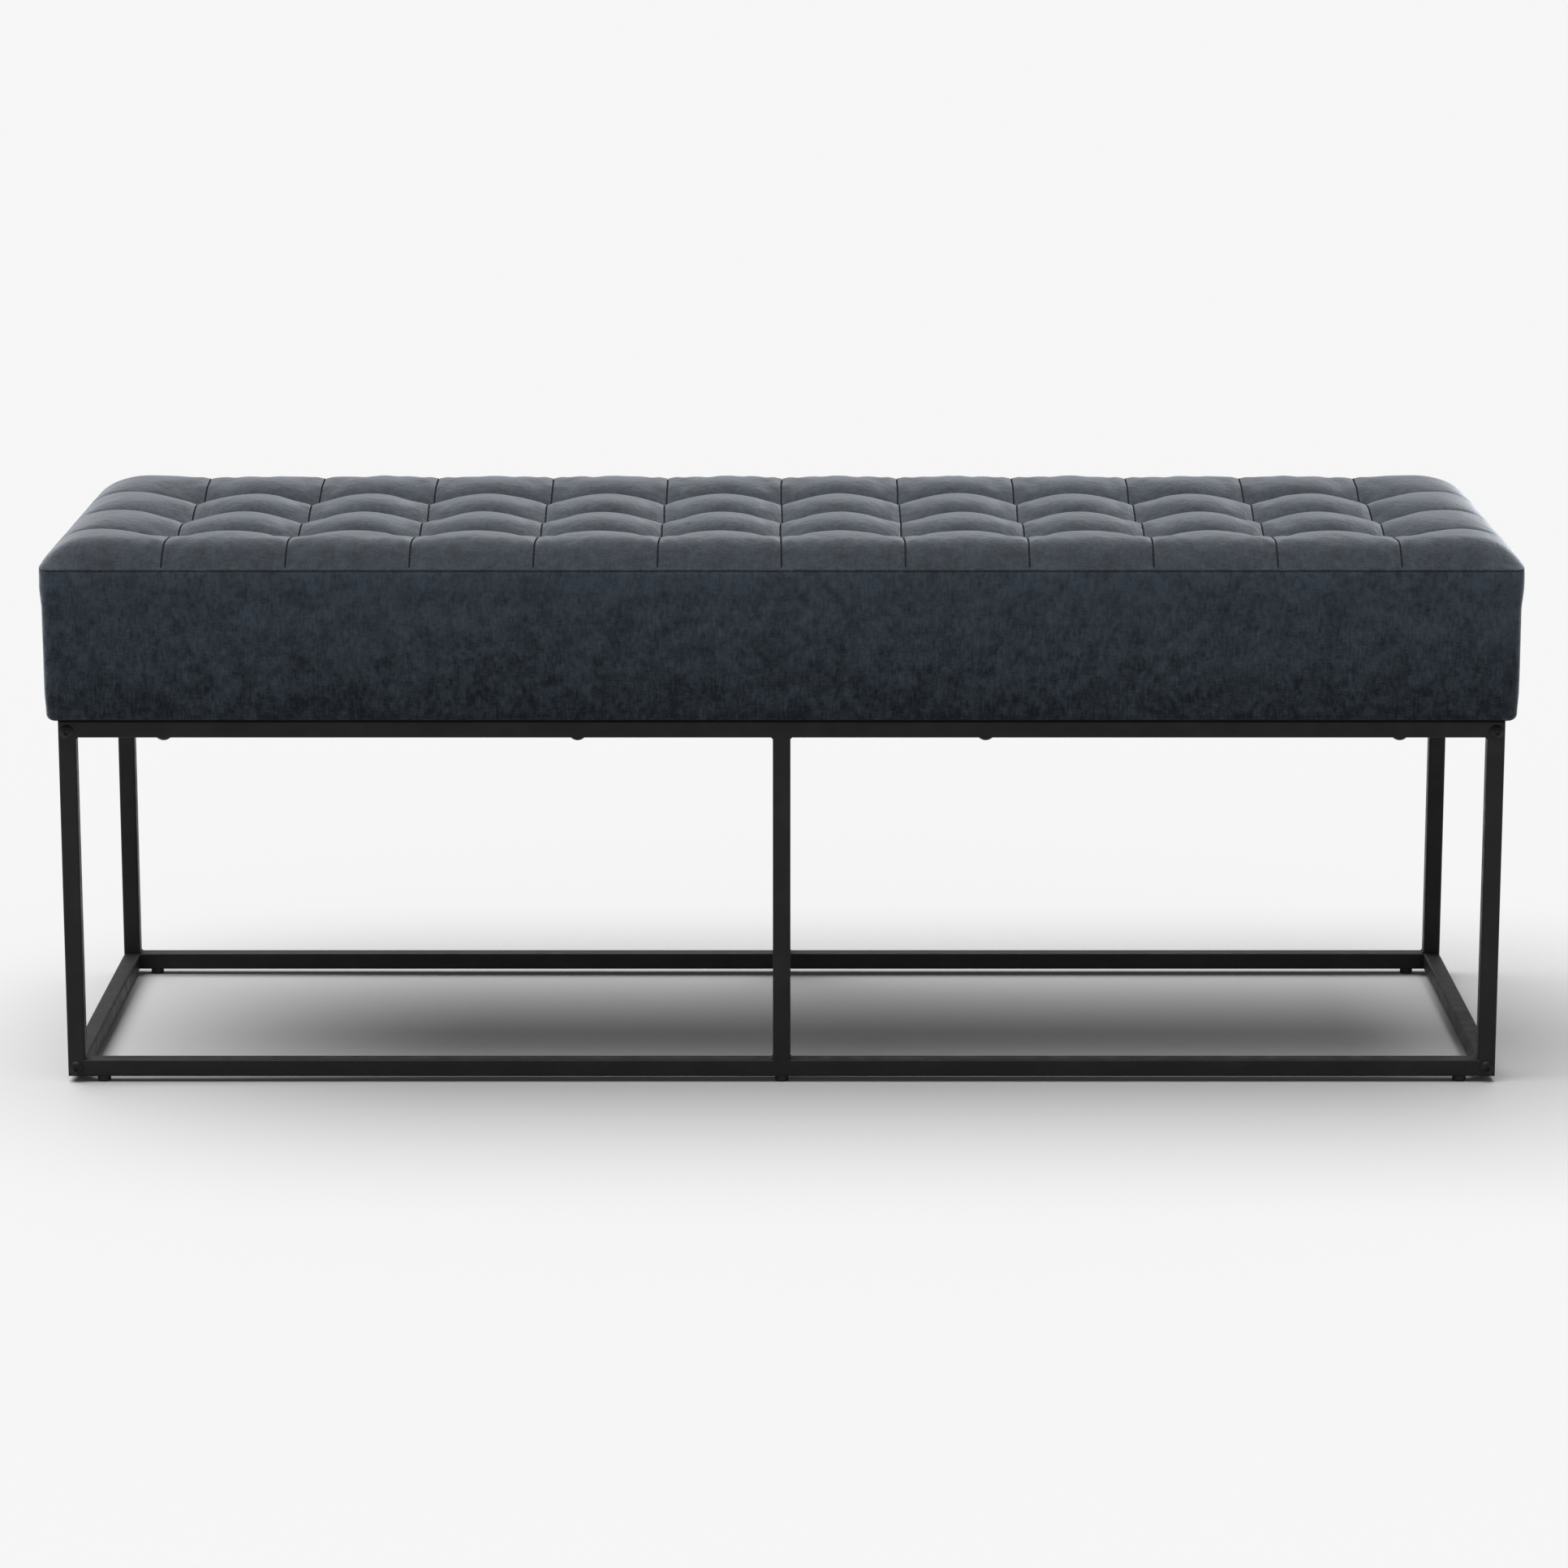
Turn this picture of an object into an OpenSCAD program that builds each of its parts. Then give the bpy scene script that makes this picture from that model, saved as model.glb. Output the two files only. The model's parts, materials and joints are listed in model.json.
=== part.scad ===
// Entryway bench: a bolted-up steel tube frame and a biscuit-tufted seat.
// Millimetres, +Z up, +X along the bench, front at -Y, origin on the floor under the middle.

/* [Seat] */
// Length of the seat, across the tufted squares
seat_w = 1246; // [1000:2:1500]
// Depth of the seat, front to back
seat_d = 415; // [360:1:450]
// Number of tufted squares along the seat
squares_x = 12; // [8:2:14]
// Number of tufted squares front to back
squares_y = 4; // [3:1:5]
// Height of the plain side band, from its turned-in bottom edge to the top seam
band_h = 130; // [90:1:160]
// Height of the tufted top above the side band's seam
crown_h = 24; // [16:1:32]
// Thickness of the foam pad under the tufted top
foam_t = 45; // [30:1:60]

/* [Frame] */
// How far the seat overhangs the steel frame on every side
overhang = 12; // [8:1:16]
// Height of the steel frame, without its feet
frame_h = 311; // [250:1:380]
// Outer width of the square tube
tube = 15; // [14:1:20]
// Wall of the square tube
wall = 1.2; // [1:0.1:2]

/* [Feet] */
// Diameter of a foot
foot_dia = 11.5; // [10:0.5:13]
// Height of a foot below the frame
foot_h = 5; // [3:0.5:10]
// Distance from the frame's end to the middle of an outer foot
foot_inset = 30; // [20:1:60]

/* [Fasteners] */
// Diameter of a bolt's thread
bolt_dia = 6; // [5:1:6]
// Diameter of a bolt's domed head
head_dia = 12; // [10:0.5:13]
// Distance from the middle of the bench to an inner seat bolt
seat_bolt_inner = 172.5; // [120:0.5:220]
// Distance from the frame's end to an outer seat bolt
seat_bolt_inset = 88.5; // [60:0.5:120]

/* [Hidden] */

$fn = 48;
eps = 0.01;             // overshoot that keeps cuts clean
LEFT = -1;
RIGHT = 1;
FRONT = -1;
REAR = 1;

STEEL = "#2b2b2c";
ZINC = "#b8bcc0";
BOLT = "#1d1d1e";
PLASTIC = "#161616";
FABRIC = "#343c45";
QUILT = "#4a525b";
PINE = "#d9bd8c";
PLYWOOD = "#c9a878";
FOAM = "#efe6c8";
WADDING = "#f2f2ee";
NONWOVEN = "#121214";
TWINE = "#e8e2d0";

// Square tube
tube_r = 2;                              // outer corner radius
bore_r = tube_r - wall + 0.1;            // inner corner radius
hole_dia = bolt_dia + 0.5;               // clearance hole for a bolt
cope = 0.75 * tube_r;                    // how far a centre leg wraps a rail's rounded edge
weld_leg = 1.5;                          // leg length of a fillet weld

// Frame levels and lines
frame_w = seat_w - 2 * overhang;
frame_d = seat_d - 2 * overhang;
rail_z = foot_h + tube / 2;              // middle of the bottom rails
top_rail_z = foot_h + frame_h - tube / 2;
side_drop = 2.5;                         // upper side rails sit this much lower, clear of the seat
side_top_z = top_rail_z - side_drop;
seat_z = foot_h + frame_h;               // the seat rests here, on the front and rear top rails
plane_y = frame_d / 2 - tube / 2;        // middle of the front and rear frames
leg_x = frame_w / 2 - tube / 2;          // middle of the corner legs
side_rail_len = frame_d - 2 * tube;
foot_x = [-(frame_w / 2 - foot_inset), 0, frame_w / 2 - foot_inset];

// Bolts, nuts and feet
head_h = 3.3;
head_rim = 0.8;                          // straight rim below the dome
socket_af = 4;                           // hexagon socket across flats
socket_depth = 2;
frame_bolt_len = 25;
seat_bolt_len = 30;
nut_len = 15;                            // threaded block in the end of a side rail
nut_play = 0.1;
thread_play = 0.1;                       // on diameter: threads are drawn plain
seat_bolt_outer = frame_w / 2 - seat_bolt_inset;
seat_bolt_x = [-seat_bolt_outer, -seat_bolt_inner, seat_bolt_inner, seat_bolt_outer];
stem_dia = 8;
stem_len = 8;
foot_edge = 0.8;

// Seat layers, from the rails up
dust_t = 0.5;
fabric_t = 1.2;
wadding_t = 2.8;
board_t = 9;
band_t = fabric_t + wadding_t;
corner_r = 12;
hem_z = seat_z + dust_t;
batten_z = hem_z + fabric_t;
seam_z = seat_z + band_h;
foam_z = seam_z - foam_t;
board_z = foam_z - board_t;

// Wooden box: battens round the edge and across, bolted through the steel rails
edge_batten_w = overhang + tube + 3;
cross_batten_w = 20;
cross_batten_x = 1.5 * seat_w / squares_x;
batten_h = board_z - batten_z;
core_size = [seat_w - 2 * band_t, seat_d - 2 * band_t];
core_r = corner_r - band_t;
bay_d = core_size.y - 2 * edge_batten_w;
insert_dia = 10;                         // threaded inserts in the battens
insert_len = 13;
insert_hole = insert_len + 4;
batten_ease = 5;                         // chamfer along the box's lower outer edge

// Hem, dust cover and the staples that hold them, just inside the rails
turn_under = band_t + edge_batten_w - 1;
dust_inset = 20;
staple_inset = overhang + tube + 3.5;
staple_w = 12;
staple_wire = 1.2;
staple_t = 0.4;
staple_pitch = 40;

// Tufting
pitch_x = seat_w / squares_x;
pitch_y = seat_d / squares_y;
quilt_t = 1.5;                           // least thickness of the quilted top
tuft_rise = 3;                           // a tuft's height over the seam
seam_rise = 9;                           // how far a seam rises between two tufts
puff_rise = crown_h - tuft_rise - seam_rise;
edge_run = 45;                           // the rounded rim reaches this far in
rim_relief = 0.6;                        // seams that run out to the rim pull in less
tie_dia = 2;
tie_hole = 4;
knot_dia = 5;
toggle_dia = 16;
toggle_t = 2;
quilt_steps = 4;                         // mesh steps across one square

// ---------------------------------------------------------------- shared shapes

module rounded_rect(size, r) {
    square([size.x - 2 * r, size.y], center = true);
    square([size.x, size.y - 2 * r], center = true);
    for (sx = [-1, 1], sy = [-1, 1])
        translate([sx * (size.x / 2 - r), sy * (size.y / 2 - r)]) circle(r);
}

module rounded_ring(outer, r, width) {
    difference() {
        rounded_rect(outer, r);
        rounded_rect(outer - [2 * width, 2 * width], max(r - width, 1));
    }
}

// Square tube along X, centred
module square_tube(len) {
    rotate([90, 0, 90]) linear_extrude(len, center = true) difference() {
        rounded_rect([tube, tube], tube_r);
        rounded_rect([tube - 2 * wall, tube - 2 * wall], bore_r);
    }
}

// Square tube along X with 45 degree ends; its long side faces -Z
module mitred_tube(len) {
    half = len / 2;
    cut = tube / 2;
    intersection() {
        square_tube(len);
        rotate([90, 0, 0]) linear_extrude(tube + 2, center = true)
            polygon([[-half, -cut], [half, -cut], [half - tube, cut], [-half + tube, cut]]);
    }
}

// Domed bolt along -Z: the head stands on z = 0, the shank hangs below
module domed_bolt(len) {
    dome_h = head_h - head_rim;
    dome_r = (pow(head_dia / 2, 2) + pow(dome_h, 2)) / (2 * dome_h);
    difference() {
        union() {
            intersection() {
                cylinder(d = head_dia, h = head_h);
                translate([0, 0, head_h - dome_r]) sphere(dome_r);
            }
            translate([0, 0, -len]) cylinder(d = bolt_dia, h = len + eps);
        }
        translate([0, 0, head_h - socket_depth])
            cylinder(d = socket_af / cos(30), h = socket_depth + 1, $fn = 6);
    }
}

// ---------------------------------------------------------------- front and rear frames

// The four bolt lines at the corners of a frame, drilled through it along Y
module corner_holes() {
    for (sx = [LEFT, RIGHT], z = [rail_z, side_top_z])
        translate([sx * leg_x, 0, z]) rotate([90, 0, 0])
            cylinder(d = hole_dia, h = frame_d + 2, center = true);
}

module corner_leg(side, face) {
    color(STEEL) difference() {
        translate([side * leg_x, face * plane_y, foot_h + frame_h / 2])
            rotate([0, -side * 90, 0]) mitred_tube(frame_h);
        corner_holes();
    }
}

// The centre leg fits between the rails and wraps their rounded edges a little
module centre_leg(face) {
    color(STEEL) translate([0, face * plane_y, 0]) difference() {
        translate([0, 0, foot_h + frame_h / 2]) rotate([0, 90, 0])
            square_tube(frame_h - 2 * tube + 2 * cope);
        for (z = [rail_z, top_rail_z]) translate([0, 0, z]) rotate([90, 0, 90])
            linear_extrude(2 * tube, center = true) rounded_rect([tube, tube], tube_r);
    }
}

module top_rail(face) {
    color(STEEL) difference() {
        translate([0, face * plane_y, top_rail_z]) rotate([180, 0, 0]) mitred_tube(frame_w);
        corner_holes();
        for (x = seat_bolt_x) translate([x, face * plane_y, top_rail_z])
            cylinder(d = hole_dia, h = tube + 2, center = true);
    }
}

module bottom_rail(face) {
    color(STEEL) difference() {
        translate([0, face * plane_y, rail_z]) mitred_tube(frame_w);
        corner_holes();
        for (x = foot_x) translate([x, face * plane_y, foot_h - 1])
            cylinder(d = stem_dia + 0.1, h = 1 + 2 * wall);
    }
}

// One fillet weld in the corner at the origin, between the planes x = 0 and z = 0
module fillet_weld() {
    rotate([90, 0, 0]) linear_extrude(tube - 2 * tube_r, center = true)
        polygon([[0, 0], [weld_leg, 0], [0, weld_leg]]);
}

module frame_welds(face) {
    inner_x = frame_w / 2 - tube;
    color(STEEL) translate([0, face * plane_y, foot_h + frame_h / 2])
        for (mx = [0, 1], mz = [0, 1]) mirror([mx, 0, 0]) mirror([0, 0, mz]) {
            translate([-inner_x, 0, -frame_h / 2 + tube]) fillet_weld();
            translate([tube / 2, 0, -frame_h / 2 + tube]) fillet_weld();
        }
}

// ---------------------------------------------------------------- side rails

module side_rail(side, z) {
    color(STEEL) translate([side * leg_x, 0, z]) rotate([0, 0, 90]) square_tube(side_rail_len);
}

// Threaded blocks welded into both ends of all four side rails
module side_rail_end_nuts() {
    size = tube - 2 * wall - 2 * nut_play;
    color(ZINC) for (sx = [LEFT, RIGHT], face = [FRONT, REAR], z = [rail_z, side_top_z])
        translate([sx * leg_x, face * (side_rail_len - nut_len) / 2, z]) rotate([90, 0, 0])
            difference() {
                linear_extrude(nut_len, center = true) rounded_rect([size, size], bore_r);
                cylinder(d = bolt_dia + thread_play, h = nut_len + 2, center = true);
            }
}

module frame_bolts(face) {
    color(BOLT) for (sx = [LEFT, RIGHT], z = [rail_z, side_top_z])
        translate([sx * leg_x, face * frame_d / 2, z]) rotate([-face * 90, 0, 0])
            domed_bolt(frame_bolt_len);
}

module seat_bolts() {
    color(BOLT) for (face = [FRONT, REAR], x = seat_bolt_x)
        translate([x, face * plane_y, seat_z - tube]) rotate([180, 0, 0]) domed_bolt(seat_bolt_len);
}

module foot(index, face) {
    color(PLASTIC) translate([foot_x[index], face * plane_y, 0]) {
        cylinder(d1 = foot_dia - 2 * foot_edge, d2 = foot_dia, h = foot_edge);
        translate([0, 0, foot_edge]) cylinder(d = foot_dia, h = foot_h - foot_edge);
        translate([0, 0, foot_h - eps]) cylinder(d = stem_dia, h = stem_len + eps);
    }
}

// ---------------------------------------------------------------- seat

module at_seat_bolts(z) {
    for (face = [FRONT, REAR], x = seat_bolt_x) translate([x, face * plane_y, z]) children();
}

module at_tufts(z) {
    for (i = [1 : squares_x - 1], j = [1 : squares_y - 1])
        translate([i * pitch_x - seat_w / 2, j * pitch_y - seat_d / 2, z]) children();
}

module core_outline() {
    rounded_rect(core_size, core_r);
}

// Cuts the chamfer along an edge that runs by the point at distance d from the middle
module ease_cut(d, len) {
    translate([0, d, batten_z]) rotate([45, 0, 0])
        cube([len, sqrt(2) * batten_ease, sqrt(2) * batten_ease], center = true);
}

// The battens under the front and rear edges carry the threaded inserts
module edge_batten(face) {
    color(PINE) difference() {
        translate([0, 0, batten_z]) linear_extrude(batten_h) intersection() {
            core_outline();
            translate([0, face * (core_size.y - edge_batten_w) / 2])
                square([seat_w, edge_batten_w], center = true);
        }
        ease_cut(face * core_size.y / 2, seat_w);
        for (side = [LEFT, RIGHT]) rotate([0, 0, 90]) ease_cut(side * core_size.x / 2, seat_d);
        at_seat_bolts(batten_z - 1) cylinder(d = insert_dia, h = insert_hole + 1);
    }
}

module side_batten(side) {
    color(PINE) difference() {
        translate([side * (core_size.x - edge_batten_w) / 2, 0, batten_z + batten_h / 2])
            cube([edge_batten_w, bay_d, batten_h], center = true);
        rotate([0, 0, -90]) ease_cut(side * core_size.x / 2, seat_d);
    }
}

module cross_batten(side) {
    color(PINE) translate([side * cross_batten_x, 0, batten_z + batten_h / 2])
        cube([cross_batten_w, bay_d, batten_h], center = true);
}

module seat_insert_nuts() {
    color(ZINC) at_seat_bolts(batten_z) difference() {
        cylinder(d = insert_dia, h = insert_len);
        translate([0, 0, -1]) cylinder(d = bolt_dia + thread_play, h = insert_len + 2);
    }
}

module seat_board() {
    color(PLYWOOD) difference() {
        translate([0, 0, board_z]) linear_extrude(board_t) core_outline();
        at_tufts(board_z - 1) cylinder(d = tie_hole, h = board_t + 2);
    }
}

module foam_pad() {
    color(FOAM) difference() {
        translate([0, 0, foam_z]) linear_extrude(foam_t) core_outline();
        at_tufts(foam_z - 1) cylinder(d = tie_dia + 1, h = foam_t + 2);
    }
}

// A twine from each tuft through the foam and the board, knotted under its toggle
module tufting_ties() {
    knot_z = board_z - toggle_t - tie_dia;
    color(TWINE) {
        at_tufts(knot_z) cylinder(d = tie_dia, h = seam_z - knot_z);
        at_tufts(knot_z) cylinder(d = knot_dia, h = tie_dia);
    }
}

module tufting_toggles() {
    color(PLASTIC) at_tufts(board_z - toggle_t) difference() {
        cylinder(d = toggle_dia, h = toggle_t);
        translate([0, 0, -1]) cylinder(d = tie_dia + 0.5, h = toggle_t + 2);
    }
}

module side_wadding() {
    color(WADDING) translate([0, 0, batten_z]) linear_extrude(seam_z - batten_z)
        rounded_ring(core_size + [2 * wadding_t, 2 * wadding_t], core_r + wadding_t, wadding_t);
}

// The plain band round the seat, with the hem that turns in under the battens
module side_cover() {
    outline = [seat_w, seat_d];
    color(FABRIC) difference() {
        union() {
            translate([0, 0, hem_z]) linear_extrude(band_h - dust_t)
                rounded_ring(outline, corner_r, fabric_t);
            translate([0, 0, hem_z]) linear_extrude(fabric_t)
                rounded_ring(outline, corner_r, turn_under);
        }
        at_seat_bolts(hem_z - 1) cylinder(d = hole_dia + 0.5, h = fabric_t + 2);
    }
}

module dust_cover() {
    color(NONWOVEN) translate([0, 0, seat_z]) linear_extrude(dust_t) difference() {
        square([seat_w - 2 * dust_inset, seat_d - 2 * dust_inset], center = true);
        for (face = [FRONT, REAR], x = seat_bolt_x)
            translate([x, face * plane_y]) circle(d = hole_dia + 0.5);
    }
}

// Staple crowns in a rectangle on the underside, clear of the rails
module cover_staples() {
    run_x = seat_w - 2 * staple_inset;
    run_y = seat_d - 2 * staple_inset;
    count_x = floor(run_x / staple_pitch);
    count_y = floor(run_y / staple_pitch);
    color(ZINC) translate([0, 0, seat_z - staple_t / 2]) {
        for (i = [0 : count_x - 1], s = [-1, 1])
            translate([(i + 0.5) * run_x / count_x - run_x / 2, s * run_y / 2, 0])
                cube([staple_w, staple_wire, staple_t], center = true);
        for (j = [0 : count_y - 1], s = [-1, 1])
            translate([s * run_x / 2, (j + 0.5) * run_y / count_y - run_y / 2, 0])
                cube([staple_wire, staple_w, staple_t], center = true);
    }
}

// ---------------------------------------------------------------- tufted top

// 0 on an inner seam and 1 in the middle of a square; it stays 1 out to the rim
function swell(cell, cells) = (cell < 0.5 || cell > cells - 0.5) ? 1 : abs(sin(180 * cell));

// Rounded rim: 0 at the seam, 1 from edge_run inwards
function rim(d) = let (t = min(d / edge_run, 1)) sqrt(1 - pow(1 - t, 2));

function relief(d, pitch) = rim_relief * max(0, 1 - d / pitch);

function puff_height(x, y) =
    let (
        u = x / pitch_x + squares_x / 2,
        v = y / pitch_y + squares_y / 2,
        dx = seat_w / 2 - abs(x),
        dy = seat_d / 2 - abs(y),
        a = swell(u, squares_x),
        b = swell(v, squares_y),
        a_puff = a + (1 - a) * relief(dy, pitch_y),
        b_puff = b + (1 - b) * relief(dx, pitch_x),
        seam = seam_rise * (1 - pow((1 - a) * (1 - b), 1.5)),
        puff = puff_rise * a_puff * b_puff
    )
    (tuft_rise + seam + puff - quilt_t) * rim(dx) * rim(dy);

// Moves a point of the full rectangle into the outline with round corners
function round_corner(x, y) =
    let (
        dx = max(abs(x) - (seat_w / 2 - corner_r), 0),
        dy = max(abs(y) - (seat_d / 2 - corner_r), 0),
        nx = dx * sqrt(1 - pow(dy / corner_r, 2) / 2),
        ny = dy * sqrt(1 - pow(dx / corner_r, 2) / 2)
    )
    [x + sign(x) * (nx - dx), y + sign(y) * (ny - dy)];

module tufted_top_cover() {
    nx = squares_x * quilt_steps;
    ny = squares_y * quilt_steps;
    top = [for (j = [0 : ny], i = [0 : nx])
        let (x = (i / nx - 0.5) * seat_w, y = (j / ny - 0.5) * seat_d, p = round_corner(x, y))
        [p.x, p.y, seam_z + quilt_t + puff_height(x, y)]];
    // grid indices round the rim, anticlockwise from above
    rim_at = concat(
        [for (i = [0 : nx - 1]) i],
        [for (j = [0 : ny - 1]) j * (nx + 1) + nx],
        [for (i = [nx : -1 : 1]) ny * (nx + 1) + i],
        [for (j = [ny : -1 : 1]) j * (nx + 1)]
    );
    n = len(rim_at);
    base = len(top);
    under = [for (k = rim_at) [top[k].x, top[k].y, seam_z]];
    quads = [for (j = [0 : ny - 1], i = [0 : nx - 1]) let (k = j * (nx + 1) + i)
        each [[k, k + nx + 1, k + 1], [k + 1, k + nx + 1, k + nx + 2]]];
    sides = [for (k = [0 : n - 1]) let (m = (k + 1) % n)
        each [[base + k, rim_at[k], base + m], [base + m, rim_at[k], rim_at[m]]]];
    bottom = [[for (k = [0 : n - 1]) base + k]];
    color(QUILT) polyhedron(points = concat(top, under), faces = concat(quads, sides, bottom));
}

// ---------------------------------------------------------------- nodes

corner_leg(LEFT, FRONT);  // front_left_leg
corner_leg(RIGHT, FRONT);  // front_right_leg
centre_leg(FRONT);  // front_centre_leg
top_rail(FRONT);  // front_top_rail
bottom_rail(FRONT);  // front_bottom_rail
corner_leg(LEFT, REAR);  // rear_left_leg
corner_leg(RIGHT, REAR);  // rear_right_leg
centre_leg(REAR);  // rear_centre_leg
top_rail(REAR);  // rear_top_rail
bottom_rail(REAR);  // rear_bottom_rail
frame_welds(FRONT);  // front_frame_welds
frame_welds(REAR);  // rear_frame_welds
side_rail(LEFT, side_top_z);  // left_top_side_rail
side_rail(RIGHT, side_top_z);  // right_top_side_rail
side_rail(LEFT, rail_z);  // left_bottom_side_rail
side_rail(RIGHT, rail_z);  // right_bottom_side_rail
side_rail_end_nuts();
frame_bolts(FRONT);  // front_frame_bolts
frame_bolts(REAR);  // rear_frame_bolts
seat_bolts();
foot(0, FRONT);  // front_left_foot
foot(1, FRONT);  // front_centre_foot
foot(2, FRONT);  // front_right_foot
foot(0, REAR);  // rear_left_foot
foot(1, REAR);  // rear_centre_foot
foot(2, REAR);  // rear_right_foot
edge_batten(FRONT);  // seat_front_batten
edge_batten(REAR);  // seat_rear_batten
side_batten(LEFT);  // seat_left_batten
side_batten(RIGHT);  // seat_right_batten
cross_batten(LEFT);  // seat_left_cross_batten
cross_batten(RIGHT);  // seat_right_cross_batten
seat_insert_nuts();
seat_board();
foam_pad();
tufting_ties();
tufting_toggles();
side_wadding();
side_cover();
tufted_top_cover();
dust_cover();
cover_staples();
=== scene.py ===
import json
import math

import bpy
import numpy as np
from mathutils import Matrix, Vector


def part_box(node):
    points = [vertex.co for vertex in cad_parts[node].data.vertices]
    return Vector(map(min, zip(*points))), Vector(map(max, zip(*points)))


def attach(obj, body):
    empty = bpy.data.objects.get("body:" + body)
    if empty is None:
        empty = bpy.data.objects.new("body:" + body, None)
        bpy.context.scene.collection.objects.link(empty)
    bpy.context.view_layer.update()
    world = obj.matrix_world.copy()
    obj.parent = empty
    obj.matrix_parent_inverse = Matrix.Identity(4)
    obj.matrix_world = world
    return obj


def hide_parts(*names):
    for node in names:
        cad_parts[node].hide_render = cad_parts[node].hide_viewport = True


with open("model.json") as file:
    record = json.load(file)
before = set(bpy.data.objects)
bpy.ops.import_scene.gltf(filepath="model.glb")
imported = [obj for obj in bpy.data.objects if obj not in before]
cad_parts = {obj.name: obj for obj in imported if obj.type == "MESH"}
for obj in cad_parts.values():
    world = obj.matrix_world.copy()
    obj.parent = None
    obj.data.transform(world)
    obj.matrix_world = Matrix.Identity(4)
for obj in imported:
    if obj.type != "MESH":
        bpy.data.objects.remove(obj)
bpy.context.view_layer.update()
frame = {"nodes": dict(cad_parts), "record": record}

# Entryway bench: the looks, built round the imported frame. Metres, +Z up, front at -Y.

MM = 0.001

# ---------------------------------------------------------------- places taken from the frame

TOP_LOW, TOP_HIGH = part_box("tufted_top_cover")
BAND_LOW, BAND_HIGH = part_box("side_cover")
DUST_LOW, DUST_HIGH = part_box("dust_cover")
STAPLE_LOW, STAPLE_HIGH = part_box("cover_staples")
FOAM_LOW, FOAM_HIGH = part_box("foam_pad")
SEAM_Z = TOP_LOW.z
SEAT_W = TOP_HIGH.x - TOP_LOW.x
SEAT_D = TOP_HIGH.y - TOP_LOW.y

# ---------------------------------------------------------------- the tufted top's design

SQUARES_X = 12
SQUARES_Y = 4
PITCH_X = SEAT_W / SQUARES_X
PITCH_Y = SEAT_D / SQUARES_Y
CROWN = TOP_HIGH.z - TOP_LOW.z     # seam to the highest squares
CORNER_R = 12 * MM                 # plan radius of the seat's corners
LIP = 0.45 * MM                    # the border starts this far above the seam's middle
TUFT_RISE = 2.0 * MM               # a tuft's height over the border seam
COLUMN_RISE = 12.0 * MM            # a seam across the bench rises this much between two tufts
ROW_RISE = 2.5 * MM                # a seam along the bench hardly rises between two tufts
LIFT_ROOM = 1.6 * MM               # height left for the simulated lift
PUFF_RISE = CROWN - TUFT_RISE - LIFT_ROOM
RIDGE_POWER = 1.6                  # over 1, so seams across the bench have narrow crests
RIM_BEVEL = 13 * MM                # the front and rear rims rise evenly this far in,
RIM_RUN = 37 * MM                  # and have levelled out here
END_RUN = 48 * MM                  # the two ends have a rounder shoulder, this wide
SEAM_LAP = 2.6 * MM                # top and band meet this far in, where they are sewn together
EDGE_TUCK = 0.45 * MM              # the top's edge turns in this far first
EDGE_TUCK_RISE = 0.1 * MM
BORDER_FADE = 6 * MM               # small relief dies away this close to the border seam
GROOVE_DEPTH = 1.7 * MM
GROOVE_WIDTH = 0.27 * MM
PUCKER = 0.16 * MM                 # height of the puckers beside a seam
PUCKER_RUN = 7 * MM                # their length, and their reach from it
TUFT_FOLD = 0.25 * MM              # height of the folds that run out from a tuft
TUFT_FOLD_REACH = 16 * MM
EDGE_PUCKER = 0.22 * MM
EDGE_PUCKER_RUN = 6 * MM
LUMP = 0.35 * MM                   # uneven filling
LUMP_RUN = 24 * MM
WANDER = 1.3 * MM                  # how far sewn lines drift
WANDER_FADE = 60 * MM


# ---------------------------------------------------------------- small helpers


def smoothstep(low, high, x):
    t = np.clip((x - low) / (high - low), 0, 1)
    return t * t * (3 - 2 * t)


def value_noise(x, y, seed):
    """Smooth noise from -1 to 1 over the plane, one random value per unit cell."""
    size = 256
    table = np.random.default_rng(seed).uniform(-1, 1, (size, size))
    ix, iy = np.floor(x).astype(int), np.floor(y).astype(int)
    fx, fy = x - ix, y - iy
    fx, fy = fx * fx * (3 - 2 * fx), fy * fy * (3 - 2 * fy)

    def at(i, j):
        return table[(iy + j) % size, (ix + i) % size]

    low = at(0, 0) * (1 - fx) + at(1, 0) * fx
    high = at(0, 1) * (1 - fx) + at(1, 1) * fx
    return low * (1 - fy) + high * fy


def mesh_object(name, points, faces, smooth=True):
    mesh = bpy.data.meshes.new(name)
    mesh.from_pydata([tuple(p) for p in points], [], faces)
    mesh.update()
    mesh.polygons.foreach_set("use_smooth", [smooth] * len(mesh.polygons))
    piece = bpy.data.objects.new(name, mesh)
    bpy.context.scene.collection.objects.link(piece)
    return piece


def set_uv(piece, coords):
    """One UV pair per vertex, in metres of cloth: u across the nap and v along it."""
    mesh = piece.data
    layer = mesh.uv_layers.new(name="cloth")
    corner = np.empty(len(mesh.loops), dtype=int)
    mesh.loops.foreach_get("vertex_index", corner)
    layer.data.foreach_set("uv", np.asarray(coords, float)[corner].ravel())


def grid_faces(columns, rows, first=0):
    """Quads of a grid whose points run along the columns first."""
    faces = []
    for j in range(rows - 1):
        for i in range(columns - 1):
            k = first + j * columns + i
            faces.append((k, k + 1, k + columns + 1, k + columns))
    return faces


def border_loop(columns, rows):
    """Point numbers round a grid's border, anticlockwise from above."""
    index = np.arange(rows * columns).reshape(rows, columns)
    return np.concatenate([index[0, :-1], index[:-1, -1], index[-1, :0:-1], index[:0:-1, 0]])


def wall_faces(columns, rows, upper, lower):
    """Quads between the borders of two grids, one over the other."""
    loop = border_loop(columns, rows)
    turned = np.roll(loop, -1)
    return [(lower + a, lower + b, upper + b, upper + a) for a, b in zip(loop, turned)]


# ---------------------------------------------------------------- tufted top: its shape


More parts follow.
